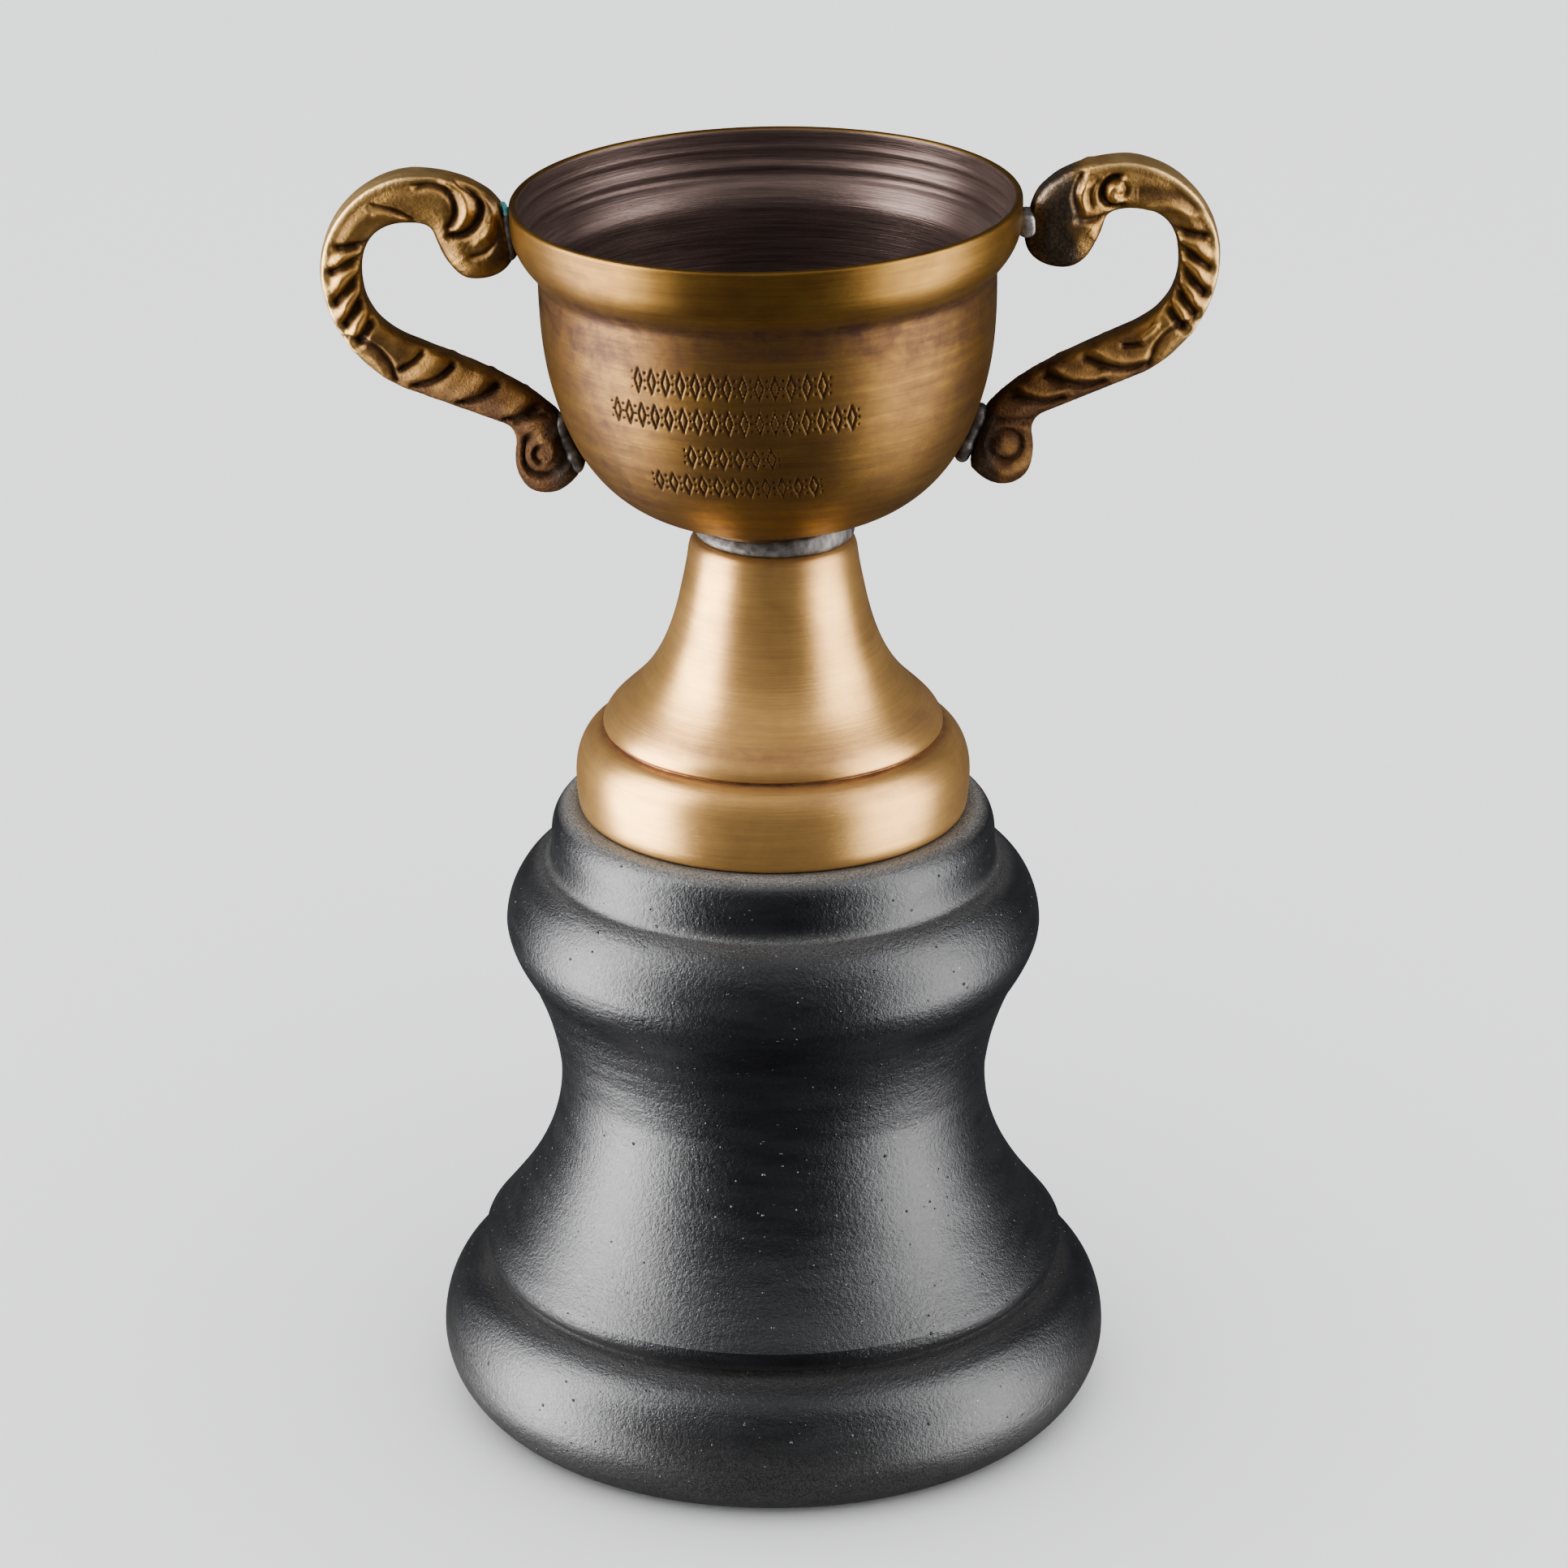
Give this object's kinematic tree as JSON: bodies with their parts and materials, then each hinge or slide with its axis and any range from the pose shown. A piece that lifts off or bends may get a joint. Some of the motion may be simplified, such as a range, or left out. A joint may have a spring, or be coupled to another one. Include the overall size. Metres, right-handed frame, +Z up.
{
  "type": "trophy cup",
  "caption": "Small two-handled brass trophy cup on a spun bell foot and a turned black wooden base, a display award with an open bowl.",
  "frame": {"origin": "centre of the underside of the felt pad, in the plane of the surface the trophy stands on", "axes": "+Z up along the axis of the base and foot; the handles lie along X; the decorated side of the cup faces -Y"},
  "size_m": [0.104, 0.0812, 0.1566],
  "materials": {
    "cup_brass": "antiqued brass, fine spinning lines, brown patina, darker inside the cup",
    "foot_brass": "satin brass, fine spinning lines, lighter than the cup",
    "cast_brass": "dark cast brass with bright worn edges and black recesses",
    "solder": "dull grey soft solder, wiped, lumpy",
    "steel": "zinc-plated steel",
    "black_wood": "ebonised turned wood, satin black paint with a fine pimpled texture",
    "felt": "black felt disc, glued on"
  },
  "bodies": {
    "root": {"cup": "cup_brass", "foot": "foot_brass", "left_handle": "cast_brass", "right_handle": "cast_brass", "left_upper_solder": "solder", "left_lower_solder": "solder", "right_upper_solder": "solder", "right_lower_solder": "solder", "neck_solder": "solder", "left_strap_solder": "solder", "right_strap_solder": "solder", "cross_strap": "foot_brass", "tie_rod": "steel", "strap_nut": "steel", "base_nut": "steel", "base_washer": "steel", "wooden_base": "black_wood", "felt_pad": "felt"}
  },
  "joints": []
}
